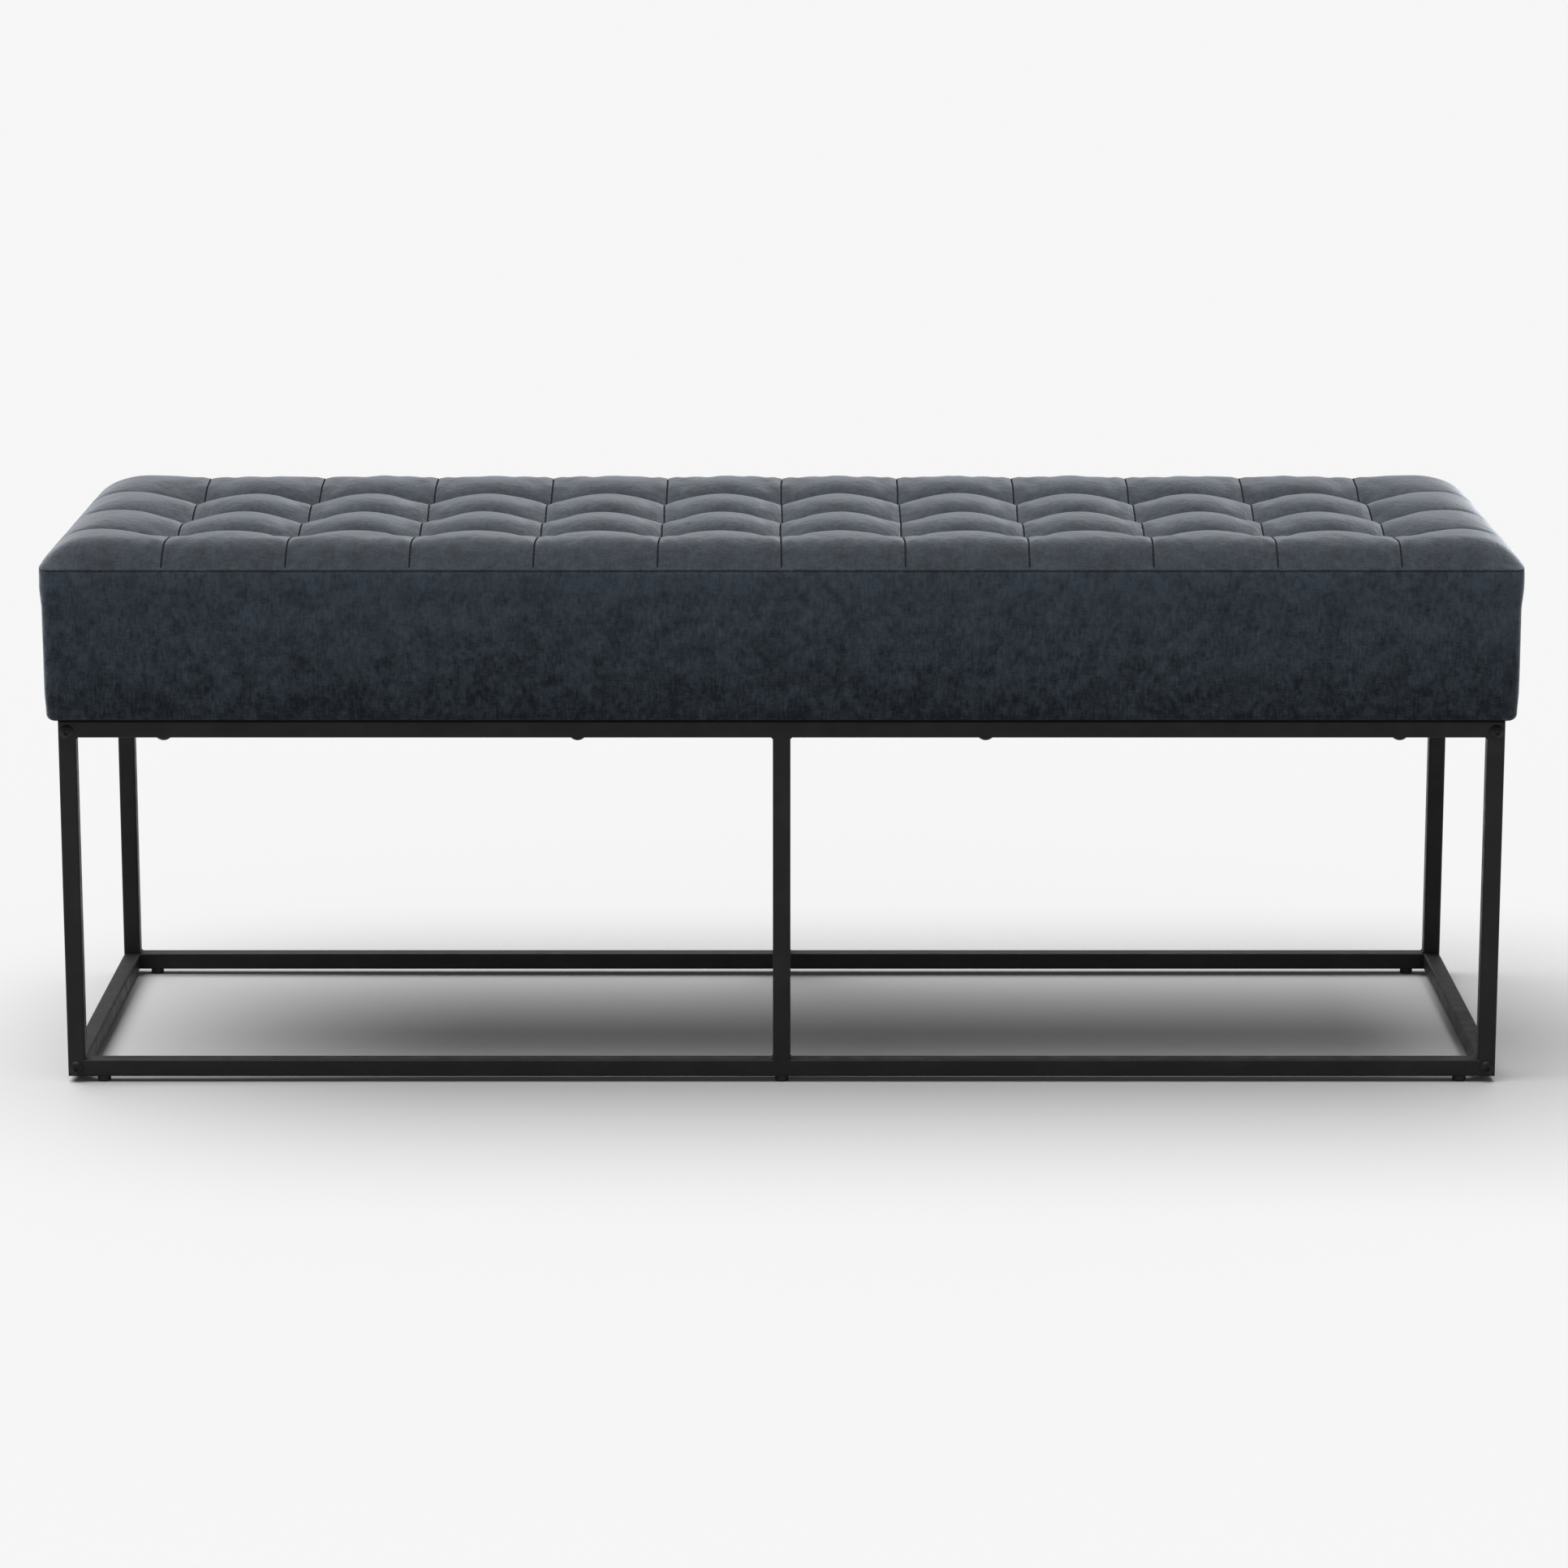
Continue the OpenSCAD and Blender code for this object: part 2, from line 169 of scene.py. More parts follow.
def arch(cell, cells, power):
    """0 on an inner seam and 1 in the middle of a square; it stays 1 out to the rim.

    A power over 1 makes a narrow crest between wide hollows.
    """
    inner = np.abs(np.sin(np.pi * cell)) ** power
    return np.where((cell < 0.5) | (cell > cells - 0.5), 1.0, inner)


def pillow(cell, cells):
    """Like an arch, with steeper sides and a flatter middle."""
    inner = 1 - np.abs(2 * (cell - np.floor(cell)) - 1) ** 3
    return np.where((cell < 0.5) | (cell > cells - 0.5), 1.0, inner)


def rim(distance):
    """Rise from the front or rear seam: a straight bevel that rounds over into the top."""
    bevel = np.minimum(distance, RIM_BEVEL)
    round_over = np.clip(distance - RIM_BEVEL, 0, RIM_RUN - RIM_BEVEL)
    rise = bevel + round_over - round_over**2 / (2 * (RIM_RUN - RIM_BEVEL))
    return rise / (RIM_BEVEL + (RIM_RUN - RIM_BEVEL) / 2)


def shoulder(distance):
    """Rise from an end's seam: steep at first, then a long round."""
    return (1 - (1 - np.clip(distance / END_RUN, 0, 1)) ** 2) ** 0.6


def relief(distance, pitch):
    """A seam that runs out to the border pulls in less and less."""
    return np.clip(1 - distance / pitch, 0, 1) ** 0.7


def quilt_height(x, y):
    """Height of the tufted top over the border seam, without grooves and creases."""
    u, v = x / PITCH_X + SQUARES_X / 2, y / PITCH_Y + SQUARES_Y / 2
    dx, dy = SEAT_W / 2 - np.abs(x), SEAT_D / 2 - np.abs(y)
    across, ridge, full = arch(u, SQUARES_X, 1), arch(v, SQUARES_Y, RIDGE_POWER), pillow(v, SQUARES_Y)
    across = across + (1 - across) * relief(dy, PITCH_Y)
    full = full + (1 - full) * relief(dx, PITCH_X)
    seam = COLUMN_RISE * ridge
    middle = ROW_RISE + (PUFF_RISE - ROW_RISE) * full
    height = TUFT_RISE + seam + (middle - seam) * across
    return LIP + (height - LIP) * shoulder(dx) * rim(dy)


def seam_offset(x, pitch, cells):
    """Signed distance to the nearest inner seam line of one family."""
    line = np.clip(np.round(x / pitch + cells / 2), 1, cells - 1)
    return x - (line - cells / 2) * pitch


def creases(x, y):
    """Grooves on the sewn lines, puckers across them and small folds round each tuft."""
    sx, sy = seam_offset(x, PITCH_X, SQUARES_X), seam_offset(y, PITCH_Y, SQUARES_Y)
    dx, dy = SEAT_W / 2 - np.abs(x), SEAT_D / 2 - np.abs(y)
    border = np.minimum(smoothstep(0, BORDER_FADE, dx), smoothstep(0, BORDER_FADE, dy))
    groove = np.exp(-np.abs(sx) / GROOVE_WIDTH) + np.exp(-np.abs(sy) / GROOVE_WIDTH)
    height = -GROOVE_DEPTH * np.minimum(groove, 1.1) * border

    pucker_x = value_noise(y / PUCKER_RUN, np.round(x / PITCH_X) * 9.7, 11)
    pucker_y = value_noise(x / PUCKER_RUN, np.round(y / PITCH_Y) * 7.3, 12)
    height = height + PUCKER * pucker_x * np.exp(-np.abs(sx) / PUCKER_RUN) * border
    height = height + PUCKER * pucker_y * np.exp(-np.abs(sy) / PUCKER_RUN) * border

    reach = np.hypot(sx, sy)
    angle = np.arctan2(sy, sx)
    tuft_id = np.round(x / PITCH_X) * 3.1 + np.round(y / PITCH_Y) * 5.3
    folds = np.cos(8 * angle + tuft_id) + 0.6 * np.cos(14 * angle + 2.3 * tuft_id)
    strength = smoothstep(3 * MM, 10 * MM, reach) * np.exp(-reach / TUFT_FOLD_REACH)
    height = height + TUFT_FOLD * folds * strength

    edge_pucker = value_noise((x + y) / EDGE_PUCKER_RUN, (x - y) / EDGE_PUCKER_RUN, 13)
    near_border = np.exp(-np.minimum(dx, dy) / EDGE_PUCKER_RUN)
    height = height + EDGE_PUCKER * edge_pucker * near_border
    lumps = value_noise(x / LUMP_RUN, y / LUMP_RUN, 14)
    return height + LUMP * lumps * border


def wander(x, y):
    """Hand-sewn lines drift a little. Nothing moves at the border."""
    dx, dy = SEAT_W / 2 - np.abs(x), SEAT_D / 2 - np.abs(y)
    free = WANDER * smoothstep(0, WANDER_FADE, np.minimum(dx, dy))
    shift_x = free * value_noise(x / 0.09, y / 0.07, 15)
    shift_y = free * value_noise(x / 0.08, y / 0.09, 16)
    return x + shift_x, y + shift_y


def round_corners(x, y, half_x, half_y, radius):
    """Moves a full rectangle's points into the outline with round corners."""
    dx = np.maximum(np.abs(x) - (half_x - radius), 0)
    dy = np.maximum(np.abs(y) - (half_y - radius), 0)
    in_x = dx * (1 - np.sqrt(np.clip(1 - (dy / radius) ** 2 / 2, 0, 1)))
    in_y = dy * (1 - np.sqrt(np.clip(1 - (dx / radius) ** 2 / 2, 0, 1)))
    return x - np.sign(x) * in_x, y - np.sign(y) * in_y


# ---------------------------------------------------------------- tufted top: cloth simulation

SIM_STEPS = 14                     # cloth cells across one square
SIM_FRAMES = 20
SIM_CAP = 1.8 * MM                 # no point moves further than this
SEAM_HOLD = 0.55                   # how firmly a seam is held; tufts and the border are held fast


def simulated_lift():
    """Inflates a coarse copy of the top, sewn down at its seams, and returns how far each point rose."""
    columns, rows = SQUARES_X * SIM_STEPS + 1, SQUARES_Y * SIM_STEPS + 1
    x, y = np.meshgrid(np.linspace(-SEAT_W / 2, SEAT_W / 2, columns),
                       np.linspace(-SEAT_D / 2, SEAT_D / 2, rows))
    start = quilt_height(x, y)
    points = np.stack([x, y, start], axis=-1).reshape(-1, 3)
    cloth_piece = mesh_object("cloth_trial", points, grid_faces(columns, rows))

    held = np.zeros((rows, columns))
    held[:, ::SIM_STEPS] = SEAM_HOLD
    held[::SIM_STEPS, :] = SEAM_HOLD
    held[::SIM_STEPS, ::SIM_STEPS] = 1.0
    held[[0, -1], :] = 1.0
    held[:, [0, -1]] = 1.0
    group = cloth_piece.vertex_groups.new(name="sewn")
    for index, weight in enumerate(held.ravel()):
        if weight:
            group.add([index], weight, "REPLACE")

    cloth = cloth_piece.modifiers.new("inflate", "CLOTH")
    cloth.settings.quality = 5
    cloth.settings.mass = 0.25
    cloth.settings.tension_stiffness = 12
    cloth.settings.compression_stiffness = 6
    cloth.settings.shear_stiffness = 4
    cloth.settings.bending_stiffness = 0.4
    cloth.settings.shrink_min = -0.025
    cloth.settings.use_pressure = True
    cloth.settings.uniform_pressure_force = 4
    cloth.settings.vertex_group_mass = "sewn"
    cloth.settings.effector_weights.gravity = 0
    cloth.collision_settings.use_collision = False
    cloth.point_cache.frame_end = SIM_FRAMES
    scene = bpy.context.scene
    for step in range(1, SIM_FRAMES + 1):
        scene.frame_set(step)
    settled = cloth_piece.evaluated_get(bpy.context.evaluated_depsgraph_get())
    moved = np.empty(len(points) * 3)
    settled.data.vertices.foreach_get("co", moved)
    scene.frame_set(1)
    bpy.data.objects.remove(cloth_piece)
    lift = moved.reshape(-1, 3)[:, 2].reshape(rows, columns) - start
    return lift * min(1, SIM_CAP / np.abs(lift).max())


def cubic_weights(positions, count):
    """Weights that carry values at 0, 1 ... count-1 to the given positions, smoothly."""
    base = np.clip(np.floor(positions).astype(int), 0, count - 2)
    t = positions - base
    taps = (-0.5 * t + t**2 - 0.5 * t**3, 1 - 2.5 * t**2 + 1.5 * t**3,
            0.5 * t + 2 * t**2 - 1.5 * t**3, -0.5 * t**2 + 0.5 * t**3)
    weights = np.zeros((len(positions), count))
    rows = np.arange(len(positions))
    for offset, tap in zip((-1, 0, 1, 2), taps):
        np.add.at(weights, (rows, np.clip(base + offset, 0, count - 1)), tap)
    return weights


# ---------------------------------------------------------------- tufted top: the piece

FINE_STEPS = 34                    # mesh cells across one square
CROWDING = 0.885                   # how strongly mesh lines gather at the seams
LOWEST = 0.4 * MM                  # no point of the top's face comes nearer the border seam's level


def crowded_lines(cells):
    """Grid positions in squares, closer together near every seam."""
    t = np.arange(cells * FINE_STEPS + 1) / FINE_STEPS
    return t - CROWDING * np.sin(2 * np.pi * t) / (2 * np.pi)


def top_surface():
    """The finished top as arrays x, y, z over a crowded grid, and its flat cloth coordinates."""
    u, v = crowded_lines(SQUARES_X), crowded_lines(SQUARES_Y)
    flat_x, flat_y = np.meshgrid((u - SQUARES_X / 2) * PITCH_X, (v - SQUARES_Y / 2) * PITCH_Y)
    lift = simulated_lift()
    across = cubic_weights(u * SIM_STEPS, lift.shape[1])
    along = cubic_weights(v * SIM_STEPS, lift.shape[0])
    z = quilt_height(flat_x, flat_y) + along @ lift @ across.T + creases(flat_x, flat_y)
    x, y = round_corners(*wander(flat_x, flat_y), SEAT_W / 2, SEAT_D / 2, CORNER_R)
    return x, y, SEAM_Z + np.maximum(z, LOWEST), flat_x, flat_y


def tufted_top(surface):
    """The top's cloth, closed underneath where it lies on the foam."""
    x, y, z, flat_x, flat_y = surface
    rows, columns = x.shape
    points = np.stack([x, y, z], axis=-1).reshape(-1, 3)
    uv = np.stack([flat_x, flat_y], axis=-1).reshape(-1, 2)
    faces = grid_faces(columns, rows)

    loop = border_loop(columns, rows)
    count = len(loop)
    first = len(points)
    for inset, height in ((EDGE_TUCK, EDGE_TUCK_RISE), (SEAM_LAP, 0.0)):
        ring = points[loop].copy()
        ring[:, 0] *= 1 - inset / (SEAT_W / 2)
        ring[:, 1] *= 1 - inset / (SEAT_D / 2)
        ring[:, 2] = SEAM_Z + height
        points = np.vstack([points, ring])
        uv = np.vstack([uv, uv[loop]])
    for k in range(count):
        m = (k + 1) % count
        faces.append((loop[m], loop[k], first + k, first + m))
        faces.append((first + m, first + k, first + count + k, first + count + m))
    faces += underside(first + count, columns, rows)
    piece = mesh_object("tufted_top", points, faces)
    set_uv(piece, uv)
    return piece


SEAM_SHADE_REACH = 0.62 * MM             # cloth this near a seam's line is folded down into it and painted dark as the groove's shade
SEAM_SHADE_MARGIN = 2 * MM               # but not this close to the border seam


def paint_seam_shade(piece):
    """Gives the faces in the seams' grooves the piece's second material: dark velvet without sheen, painted
    shade in the grooves.
    """
    uv = np.empty(len(piece.data.loops) * 2)
    piece.data.uv_layers["cloth"].data.foreach_get("uv", uv)
    uv = uv.reshape(-1, 2)
    for face in piece.data.polygons:
        if len(face.loop_indices) != 4:
            continue
        x, y = uv[list(face.loop_indices)].mean(axis=0)
        to_rim = min(SEAT_W / 2 - abs(x), SEAT_D / 2 - abs(y))
        reach = min(abs(seam_offset(x, PITCH_X, SQUARES_X)), abs(seam_offset(y, PITCH_Y, SQUARES_Y)))
        face.material_index = int(to_rim > SEAM_SHADE_MARGIN and reach < SEAM_SHADE_REACH)


def underside(first, columns, rows):
    """Faces that close a ring of border points: strips across, and one longer face at each end."""
    count = 2 * (columns + rows) - 4

    def front(i):
        return first + i

    def rear(i):
        return first + (columns - 1) + (rows - 1) + (columns - 1 - i)

    faces = [(front(i), rear(i), rear(i + 1), front(i + 1)) for i in range(1, columns - 2)]
    left = [first + (count - k) % count for k in range(rows)]
    right = [first + columns - 1 + k for k in range(rows)]
    faces.append(tuple(left + [rear(1), front(1)]))
    faces.append(tuple([front(columns - 2), rear(columns - 2)] + right[::-1]))
    return faces


# ---------------------------------------------------------------- side band

BAND_H = BAND_HIGH.z - BAND_LOW.z
FABRIC_T = 1.2 * MM
HEM_W = 33 * MM                    # width of the part that turns in underneath
FOOT_R = 6.2 * MM                  # the cloth turns under round this radius
RING_STEP = 4 * MM                 # spacing of points along the straight sides
CORNER_STEPS = 12
REST_INSET = 0.2 * MM              # the face keeps this far inside the outline everywhere
BULGE = 1.7 * MM                   # it lies this much further in below the foam
SHOULDER = 0.35 * MM               # it rounds in this much at the top seam
TUCK = 0.9 * MM                    # and this much towards the foot


def outline():
    """Places round the seat, anticlockwise from above.

    Gives points on the rectangle of the corners' centres, outward directions, and distances along the edge.
    """
    half_w, half_d = SEAT_W / 2 - CORNER_R, SEAT_D / 2 - CORNER_R
    side_steps = {0: int(2 * half_d / RING_STEP), 1: int(2 * half_w / RING_STEP)}
    centres, normals = [], []
    corners = ((half_w, -half_d, -90), (half_w, half_d, 0), (-half_w, half_d, 90), (-half_w, -half_d, 180))
    for k, (cx, cy, start) in enumerate(corners):
        for s in range(CORNER_STEPS):
            angle = math.radians(start + 90 * s / CORNER_STEPS)
            centres.append((cx, cy))
            normals.append((math.cos(angle), math.sin(angle)))
        nx, ny, _ = corners[(k + 1) % 4]
        steps = side_steps[k % 2]
        angle = math.radians(start + 90)
        for s in range(steps):
            centres.append((cx + (nx - cx) * s / steps, cy + (ny - cy) * s / steps))
            normals.append((math.cos(angle), math.sin(angle)))
    centres, normals = np.array(centres), np.array(normals)
    edge = centres + CORNER_R * normals
    gaps = np.linalg.norm(np.roll(edge, -1, axis=0) - edge, axis=1)
    return centres, normals, np.concatenate([[0], np.cumsum(gaps)[:-1]])


def offset_ring(centres, normals, distance):
    """Points at a signed distance from the corner centres' outline. Far inside, corners turn square."""
    outside = np.maximum(distance, 0)[:, None]
    inside = np.minimum(distance, 0)[:, None]
    ring = centres + outside * normals
    limit = np.array([SEAT_W / 2 - CORNER_R, SEAT_D / 2 - CORNER_R]) + inside
    bound = np.where(inside < 0, limit, np.inf)
    return np.clip(ring, -bound, bound)


def band_inset(z):
    """How far the face lies inside the outline: foam swells it at the top, wood keeps it flat."""
    height = z - BAND_LOW.z
    top = BAND_H - height
    below_foam = BULGE * smoothstep(14 * MM, 36 * MM, top)
    rounding = SHOULDER * smoothstep(2.5 * MM, 0, top)
    tuck = TUCK * smoothstep(26 * MM, FOOT_R, height)
    return REST_INSET + below_foam + rounding + tuck


FACE_ROWS = 38
FOOT_ROWS = 6
HEM_ROWS = 8


def band_rows(depth):
    """Rows of (inset, z) at a depth into the cloth, from the seam down the face and in under the seat."""
    top = BAND_HIGH.z - 0.3 * MM
    rows = [(SEAM_LAP, BAND_HIGH.z - depth)]
    for z in np.linspace(top, BAND_LOW.z + FOOT_R, FACE_ROWS):
        rows.append((band_inset(z) + depth, min(z, BAND_HIGH.z - depth)))
    centre = band_inset(BAND_LOW.z + FOOT_R) + FOOT_R
    for k in range(1, FOOT_ROWS + 1):
        angle = math.radians(90 * k / FOOT_ROWS)
        reach = FOOT_R - depth
        rows.append((centre - reach * math.cos(angle), BAND_LOW.z + FOOT_R - reach * math.sin(angle)))
    for t in np.linspace(0, 1, HEM_ROWS + 1)[1:]:
        rows.append((centre + (HEM_W - centre) * t, BAND_LOW.z + depth))
    return rows


BAND_WAVE = 0.35 * MM              # height of the broad waves in its face,
BAND_DRAG = 0.12 * MM              # of the narrow ones,
BAND_GATHER = 0.22 * MM            # and of the gathers under its seam


def slackness(along, z):
    """Waves in the face of the band, and small gathers under its top seam."""
    broad = value_noise(along / 0.075, np.full(len(along), z / 0.05), 21)
    drag = value_noise(along / 0.018, np.full(len(along), z / 0.06), 22)
    gathers = value_noise(along / (6 * MM), 0 * along, 23) * math.exp(-(BAND_HIGH.z - z) / (7 * MM))
    hold = smoothstep(0, 3 * MM, BAND_HIGH.z - z) * smoothstep(8 * MM, 45 * MM, z - BAND_LOW.z)
    return (BAND_WAVE * broad + BAND_DRAG * drag + BAND_GATHER * gathers) * hold


def ring_of(places, inset, z, waves=True):
    """One closed ring of points at an inset from the seat's outline."""
    centres, normals, along = places
    distance = np.full(len(along), CORNER_R - inset)
    if waves:
        distance = distance + slackness(along, z)
    return np.column_stack([offset_ring(centres, normals, distance), np.full(len(along), z)])


def ring_faces(rings, count):
    """Quads that join closed rings one after another, and the last one back to the first."""
    faces = []
    for r in range(rings):
        below = (r + 1) % rings
        for k in range(count):
            m = (k + 1) % count
            faces.append((r * count + m, r * count + k, below * count + k, below * count + m))
    return faces


def side_band():
    """The band's cloth: outside face, hem, and back again along the inside."""
    places = outline()
    along = places[2]
    outer, inner = band_rows(0.0), band_rows(FABRIC_T)
    rows = outer + inner[::-1]
    lengths = np.cumsum([0] + [math.dist(outer[k - 1], outer[k]) for k in range(1, len(outer))])
    lengths = np.concatenate([lengths, lengths[::-1]])
    points = np.vstack([ring_of(places, inset, z) for inset, z in rows])
    uv = np.vstack([np.column_stack([along, np.full(len(along), -length)]) for length in lengths])
    piece = mesh_object("side_band", points, ring_faces(len(rows), len(along)))
    set_uv(piece, uv)
    return piece


FOOT_SHADE_SHARE = 0.40                # lower part of the foot's round that is painted dark as folded cloth in shade


def paint_foot_shade(piece):
    """Gives the cloth that turns under the band its second material: dark velvet without sheen, painted
    shade under the band's foot.
    """
    z = np.array([vertex.co.z for vertex in piece.data.vertices])
    for face in piece.data.polygons:
        face.material_index = int(z[list(face.vertices)].max() < BAND_LOW.z + FOOT_R * FOOT_SHADE_SHARE)


WADDING_ROWS = 24


def wadding_layer():
    """Thin wadding between the band and the box, pressed flat where the band is tight."""
    places = outline()
    low, high = BAND_LOW.z + 7 * MM, BAND_HIGH.z - 2.5 * MM
    back = 4.0 * MM
    clearance = 0.1 * MM
    edge = 0.8 * MM
    rows = [(band_inset(z) + FABRIC_T + clearance, z) for z in np.linspace(high, low, WADDING_ROWS)]
    rows = [(back - 0.9 * MM, high + edge)] + rows + [(back - 0.5 * MM, low - edge)]
    rows += [(back, low), (back, high)]
    points = np.vstack([ring_of(places, inset, z, waves=inset < back - MM) for inset, z in rows])
    return mesh_object("wadding_layer", points, ring_faces(len(rows), len(places[2])))


FOAM_GRID = (120, 40)
FOAM_PRESSED = 0.6 * MM            # the cover holds the foam this far below its CAD height
FOAM_EASE = 5 * MM                 # how far its upper edges drop,
FOAM_EASE_RUN = 8 * MM             # over this width
FOAM_DIMPLE = 3 * MM
FOAM_DIMPLE_REACH = 14 * MM
FOAM_LUMP = 0.4 * MM
FOAM_LUMP_RUN = 30 * MM
FOAM_CLEARANCE = 0.3 * MM


def foam_block():
    """Foam with eased edges, drawn down a little at each tuft."""
    low, high = FOAM_LOW, FOAM_HIGH
    nx, ny = FOAM_GRID
    x, y = np.meshgrid(np.linspace(low.x, high.x, nx), np.linspace(low.y, high.y, ny))
    edge = np.minimum(high.x - np.abs(x), high.y - np.abs(y))
    outward = (1 - edge / FOAM_EASE_RUN).clip(0, 1)
    ease = FOAM_EASE * (1 - np.sqrt(1 - outward**2))
    reach = np.hypot(seam_offset(x, PITCH_X, SQUARES_X), seam_offset(y, PITCH_Y, SQUARES_Y))
    dimple = FOAM_DIMPLE * np.exp(-((reach / FOAM_DIMPLE_REACH) ** 2))
    lump = FOAM_LUMP * value_noise(x / FOAM_LUMP_RUN, y / FOAM_LUMP_RUN, 41)
    z = high.z - FOAM_PRESSED - ease - dimple + lump
    half_x, half_y = high.x - FOAM_CLEARANCE, high.y - FOAM_CLEARANCE
    x, y = round_corners(x, y, half_x, half_y, CORNER_R - 3 * MM)
    top = np.stack([x, y, z], axis=-1).reshape(-1, 3)
    bottom = np.stack([x, y, np.full_like(x, low.z)], axis=-1).reshape(-1, 3)
    faces = grid_faces(nx, ny) + [f[::-1] for f in grid_faces(nx, ny, nx * ny)]
    faces += wall_faces(nx, ny, 0, nx * ny)
    return mesh_object("foam_block", np.vstack([top, bottom]), faces)


# ---------------------------------------------------------------- stitches along the seams


STITCH = 3.1 * MM
STITCH_GAP = 1.3 * MM
THREAD_R = 0.28 * MM
THREAD_LIFT = 0.10 * MM            # height of a thread's middle over the groove's bottom
THREAD_POINT = 0.5 * MM            # length of its pointed ends
SEAM_END_POINTS = 8                # mesh points with no stitches, at each end of a seam


def stitch_mesh(name, starts, ends):
    """One short thread from each start to each end, hexagonal with pointed ends."""
    starts, ends = np.array(starts), np.array(ends)
    direction = ends - starts
    direction /= np.linalg.norm(direction, axis=1)[:, None]
    up = np.where(np.abs(direction[:, 2:]) > 0.9, [[1.0, 0, 0]], [[0, 0, 1.0]])
    side = np.cross(direction, up)
    side /= np.linalg.norm(side, axis=1)[:, None]
    up = np.cross(side, direction)
    angles = np.radians(60 * np.arange(6))
    rings = []
    for base, shift in ((starts, THREAD_POINT), (ends, -THREAD_POINT)):
        middle = base + direction * shift
        for angle in angles:
            rings.append(middle + THREAD_R * (math.cos(angle) * side + math.sin(angle) * up))
    corners = np.stack(rings + [starts, ends], axis=1)
    faces = []
    for n in range(len(starts)):
        o = n * 14
        for k in range(6):
            m = (k + 1) % 6
            faces.append((o + k, o + 6 + k, o + 6 + m, o + m))
            faces.append((o + 12, o + k, o + m))
            faces.append((o + 13, o + 6 + m, o + 6 + k))
    return mesh_object(name, corners.reshape(-1, 3), faces)


def stitch_spans(length):
    """Where along a seam its stitches start and end."""
    first = np.arange(2 * MM, length - STITCH - 2 * MM, STITCH + STITCH_GAP)
    return first, first + STITCH


def seam_stitches(surface):
    """Threads in the bottoms of the inner seams' grooves."""
    x, y, z = surface[:3]
    points = np.stack([x, y, z + THREAD_LIFT], axis=-1)
    seams = [points[:, line * FINE_STEPS] for line in range(1, SQUARES_X)]
    seams += [points[line * FINE_STEPS] for line in range(1, SQUARES_Y)]
    starts, ends = [], []
    for seam in seams:
        path = seam[SEAM_END_POINTS:-SEAM_END_POINTS]
        run = np.concatenate([[0], np.cumsum(np.linalg.norm(np.diff(path, axis=0), axis=1))])
        first, last = stitch_spans(run[-1])
        starts.append(np.column_stack([np.interp(first, run, path[:, c]) for c in range(3)]))
        ends.append(np.column_stack([np.interp(last, run, path[:, c]) for c in range(3)]))
    return stitch_mesh("seam_stitches", np.vstack(starts), np.vstack(ends))


# ---------------------------------------------------------------- dust cover and staples


SHEET_STEP = 6 * MM
SHEET_T = 0.4 * MM
SHEET_SAG = 2.2 * MM
SHEET_SAG_RUN = 130 * MM           # it has sagged fully this far in from the staples
SHEET_FOLD = 0.5 * MM              # folds between the staples,
SHEET_FOLD_REACH = 22 * MM         # which die away over this distance
SHEET_RIPPLE = 0.4 * MM
STAPLE_PITCH = 40 * MM


def dust_sheet():
    """A thin sheet stapled flat round its edge, sagging in the middle, with folds between the staples."""
    half_x, half_y = DUST_HIGH.x, DUST_HIGH.y
    columns, rows = int(2 * half_x / SHEET_STEP) + 1, int(2 * half_y / SHEET_STEP) + 1
    x, y = np.meshgrid(np.linspace(-half_x, half_x, columns), np.linspace(-half_y, half_y, rows))
    inner_x, inner_y = STAPLE_HIGH.x - 2 * MM, STAPLE_HIGH.y - 2 * MM
    dx, dy = np.clip(inner_x - np.abs(x), 0, None), np.clip(inner_y - np.abs(y), 0, None)
    edge = np.minimum(dx, dy)
    sag = SHEET_SAG * smoothstep(0, SHEET_SAG_RUN, edge)
    pull = np.exp(-edge / SHEET_FOLD_REACH) * smoothstep(0, 5 * MM, edge)
    along = np.where(dx < dy, y, x)
    folds = SHEET_FOLD * np.cos(2 * np.pi * along / STAPLE_PITCH)
    ripple = SHEET_RIPPLE * value_noise(x / 0.09, y / 0.05, 31) * smoothstep(0, 30 * MM, edge)
    z = DUST_LOW.z - sag + folds * pull + ripple
    points = np.stack([x, y, z], axis=-1).reshape(-1, 3)
    top = points + [0, 0, SHEET_T]
    size = columns * rows
    faces = [f[::-1] for f in grid_faces(columns, rows)] + grid_faces(columns, rows, size)
    faces += wall_faces(columns, rows, size, 0)
    piece = mesh_object("dust_cover_sheet", np.vstack([points, top]), faces)
    set_uv(piece, np.vstack([points, top])[:, :2])
    return piece


STAPLE_W = 12 * MM
STAPLE_R = 0.45 * MM
STAPLE_LEG = 3.0 * MM
STAPLE_BEND = 0.5 * MM
STAPLE_INSET = 0.6 * MM            # from the edge of the CAD staples' box to the wire's middle
STAPLE_TILT = 0.05                 # radians a staple may be turned either way


def staple_path(centre, along):
    """One staple: legs that go up into the wood and a crown that lies on the cloth."""
    low = STAPLE_LOW.z + STAPLE_R
    half = STAPLE_W / 2 - STAPLE_R
    shape = [(-half, STAPLE_LEG), (-half, STAPLE_BEND), (-half + STAPLE_BEND, 0)]
    shape += [(-s, h) for s, h in shape[::-1]]
    return [np.array([centre[0] + along[0] * s, centre[1] + along[1] * s, low + h]) for s, h in shape]


